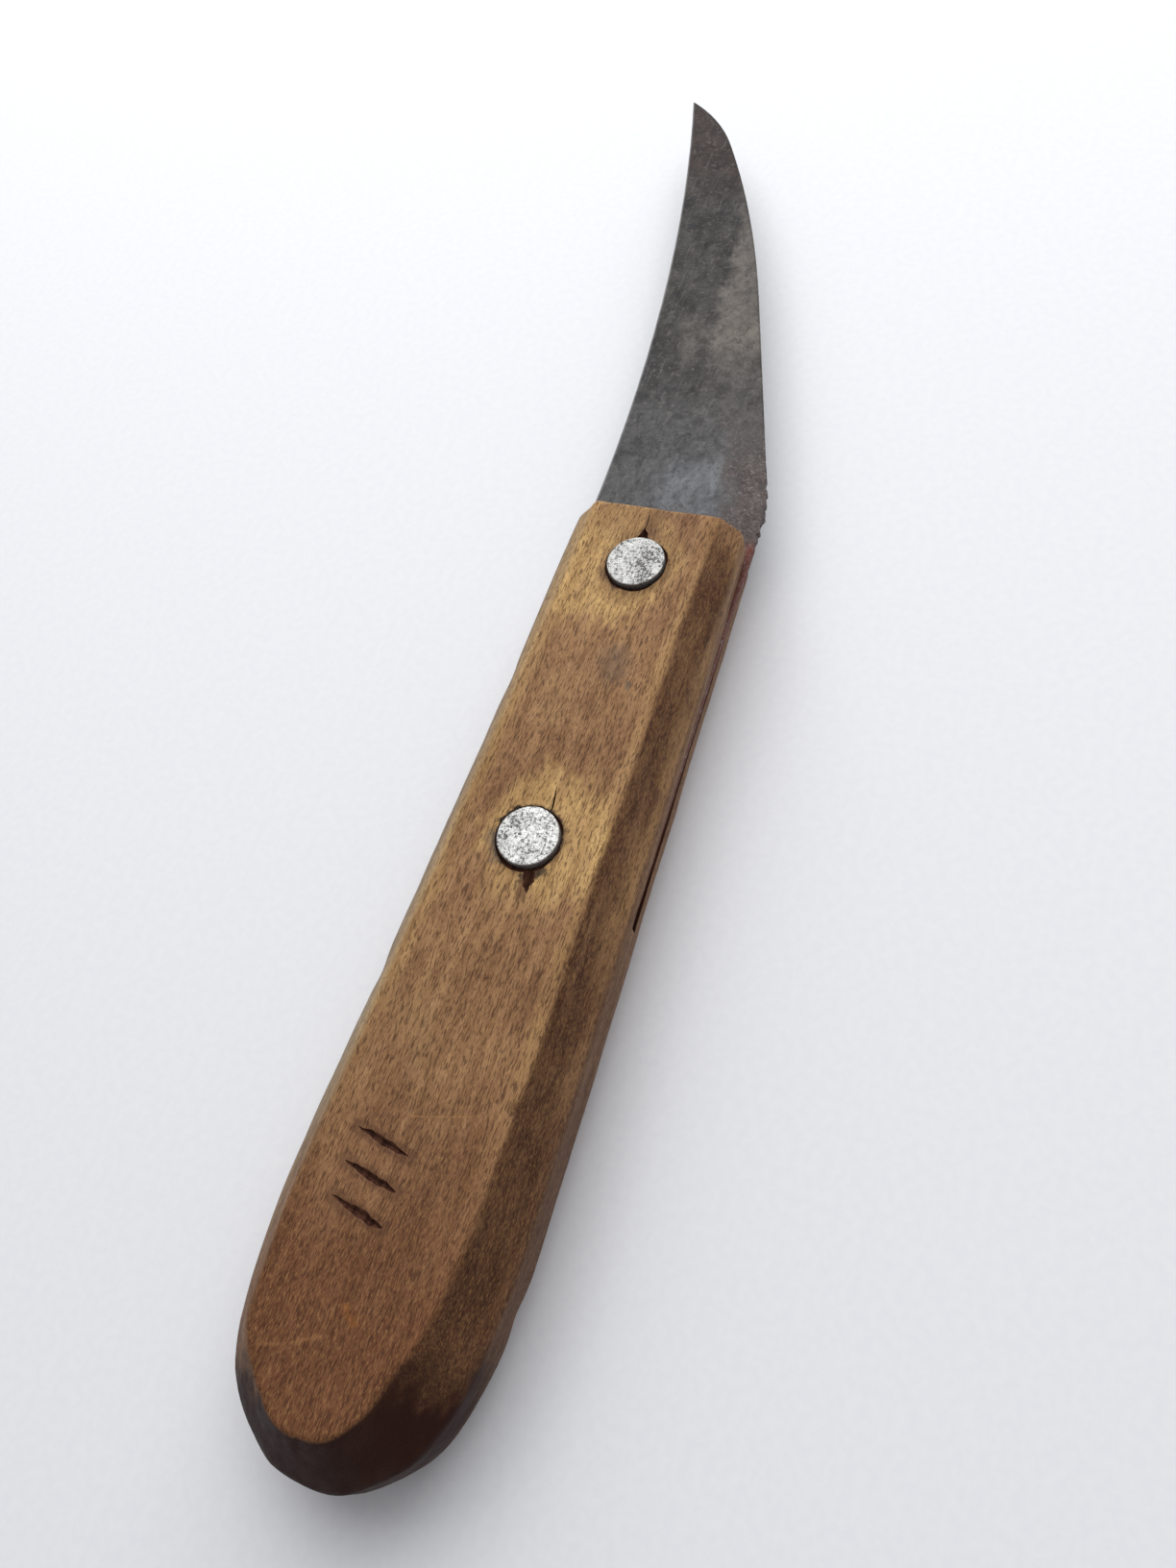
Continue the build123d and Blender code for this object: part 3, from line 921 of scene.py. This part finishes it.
def paint_blade(piece, rings):
    """Where the steel is rusty, pale or brown, with a lighter bluish patch by the heel that is painted sheen.
    rings gives the cutting edge's place along X.
    """
    points = points_mm(piece)
    x, y = points[:, :2].T
    large = cloud(points, (8, 5, 5), 24)
    edge_y = np.interp(x, rings[:, 0, 0], rings[:, BLADE_ROWS - 1, 1])
    from_edge = edge_y - y
    fine = cloud(points, (1.6, 1.6, 1.6), 25)
    # Painted sheen: a lighter, bluish patch on the steel just in front of the handle.
    heel_sheen = 0.6 * bell(np.hypot((x - FRONT_X - 7) * 0.5, (y + 2.0) * 0.55) + 0.8 * large, 0, 4.5)
    heel_sheen += 0.4 * bell(np.hypot(x - FRONT_X - 11, (y + 0.6) * 0.6) + 0.5 * fine, 0, 2.2)
    tip = ramp(x + 3 * large, BLADE_HIGH[0] - 26, BLADE_HIGH[0] - 12)
    pale = bell(x + 2 * large, FRONT_X + 47, 17) * ramp(from_edge + 1.2 * large + 0.5 * fine, 8.4, 9.6)
    pale += 0.6 * bell(x - 0.3 * from_edge + 2 * large, FRONT_X + 33, 3.5) * ramp(from_edge, 3.0, 5.0)
    paint(piece, "rust", rust_amount(points))
    paint(piece, "heel_sheen", heel_sheen)
    paint(piece, "low", ramp(x + 3 * large, FRONT_X + 34, FRONT_X + 20))
    paint(piece, "pale", 0.65 * pale)
    paint(piece, "warm", tip)
    paint(piece, "red", ramp(x, FRONT_X + 2.5, FRONT_X + 0.5) * ramp(-y, 9.0, 10.5))
    paint(piece, "honed", 0.5 * ramp(from_edge, 0.3, 0.1) * (x > FRONT_X))


def make_blade(steel_material):
    rings = blade_rings(triangles_mm("blade"))
    count, around, _ = rings.shape
    faces = grid_faces(count, around)
    last = count * around
    faces += [tuple(range(around)), tuple(reversed(range(last - around, last)))]
    piece = new_object("blade_body", rings.reshape(-1, 3), faces)
    merge_doubles(piece, 0.002)
    wear_blade(piece)
    piece.data.materials.append(steel_material)
    for place in RIVET_X:
        hole = turned("hole_cutter", RIVET_X[place], [(HOLE_RADIUS, TOP), (HOLE_RADIUS, 0)], True)
        hole.data.materials.append(steel_material)
        carve(piece, hole)
    paint_blade(piece, rings)
    smooth_shade(piece, 35)
    return piece


# ---------------------------------------------------------------- rivets

def rivet_profile(node, facing):
    """Radius and height of a rivet half, from the middle of its head round to its inside."""
    low, high = box_mm(node)
    head = (high[0] - low[0]) / 2
    face, far = (high[2], low[2]) if facing > 0 else (low[2], high[2])
    centre = np.array([[(low[0] + high[0]) / 2, 0.0]])
    shank_cut = section(triangles_mm(node), 2, (face + far) / 2)
    radii = np.linalg.norm(shank_cut.reshape(-1, 2) - centre, axis=1)
    outer, inner = radii.max(), radii.min()
    back = face - facing * HEAD_THICKNESS
    turn = np.linspace(0, math.pi / 2, 7)
    inside, sunk = head - HEAD_ROUNDING, 0.03
    flat = [(share * inside, face - facing * sunk * share ** 4) for share in np.linspace(0, 1, 20)]
    rim = []
    for angle in turn[1:]:
        fall = sunk + HEAD_ROUNDING * (1 - math.cos(angle))
        rim.append((inside + HEAD_ROUNDING * math.sin(angle), face - facing * fall))
    profile = flat + rim + [(head, back), (outer, back), (outer, far)]
    if outer - inner > 0.2:
        profile += [(inner, far), (inner, face - facing * 1.0), (0.0, face - facing * 1.0)]
    else:
        profile += [(outer - 0.3, far), (0.0, far)]
    return profile


def make_rivet(node, material):
    facing = 1 if node.endswith("_male") else -1
    low, high = box_mm(node)
    x = (low[0] + high[0]) / 2
    profile = rivet_profile(node, facing)
    piece = turned(f"{node}_body", x, profile, False)
    if facing < 0:
        piece.data.flip_normals()
    merge_doubles(piece, 0.002)
    points = points_mm(piece)
    head = ramp(facing * points[:, 2], facing * profile[0][1] - 0.5, facing * profile[0][1] - 0.1)
    dents = 0.015 * ramp(cloud(points, (1.2, 1.2, 1.2), 31 + x), -0.2, 0.6)
    points[:, 2] -= facing * dents * head
    move_points(piece, points)
    paint(piece, "dull", np.full(len(points), x > MID_X))
    piece.data.materials.append(material)
    smooth_shade(piece, 50)
    return piece


# ---------------------------------------------------------------- studio

def make_floor(material):
    corners = [(x * FLOOR_HALF, y * FLOOR_HALF, 0) for x, y in ((-1, -1), (1, -1), (1, 1), (-1, 1))]
    floor = new_object("floor", corners, [(0, 1, 2, 3)])
    floor.data.materials.append(material)


def add_light(name, place, target, size, power):
    """A large square soft light, in millimetres and watts."""
    light = bpy.data.lights.new(name, "AREA")
    light.shape = "SQUARE"
    light.size = size * MM
    light.energy = power
    lamp = bpy.data.objects.new(name, light)
    lamp.location = Vector(place) * MM
    lamp.rotation_euler = (Vector(target) - Vector(place)).to_track_quat("-Z", "Y").to_euler()
    bpy.context.scene.collection.objects.link(lamp)


def make_studio():
    world = bpy.data.worlds.new("studio")
    world.use_nodes = True
    background = world.node_tree.nodes["Background"]
    background.inputs["Color"].default_value = srgb(*SKY_COLOUR)
    background.inputs["Strength"].default_value = SKY_STRENGTH
    scene = bpy.context.scene
    scene.world = world
    scene.view_settings.view_transform = "Standard"
    add_light("window", WINDOW_PLACE, WINDOW_TARGET, WINDOW_SIZE, WINDOW_POWER)


def make_camera():
    data = bpy.data.cameras.new("camera")
    data.lens = LENS
    data.sensor_width = SENSOR
    data.clip_start = CLIP_START * MM
    camera = bpy.data.objects.new("camera", data)
    backward = (Vector(EYE) - Vector(LOOK_AT)).normalized()
    right = Vector(CAMERA_RIGHT)
    right = (right - backward * right.dot(backward)).normalized()
    up = backward.cross(right)
    turn = Matrix((right, up, backward)).transposed()
    camera.matrix_world = Matrix.Translation(Vector(EYE) * MM) @ turn.to_4x4()
    bpy.context.scene.collection.objects.link(camera)
    bpy.context.scene.camera = camera


# ---------------------------------------------------------------- the knife

def place_piece(piece, node):
    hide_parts(node)
    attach(piece, "root")


place_piece(make_handle(make_wood(), make_cut_wood()), "handle")
place_piece(make_blade(make_steel()), "blade")
rivet_metal = make_rivet_metal()
for place in RIVET_X:
    for half in ("male", "female"):
        place_piece(make_rivet(f"{place}_rivet_{half}", rivet_metal), f"{place}_rivet_{half}")

make_floor(make_paper())
make_studio()
make_camera()
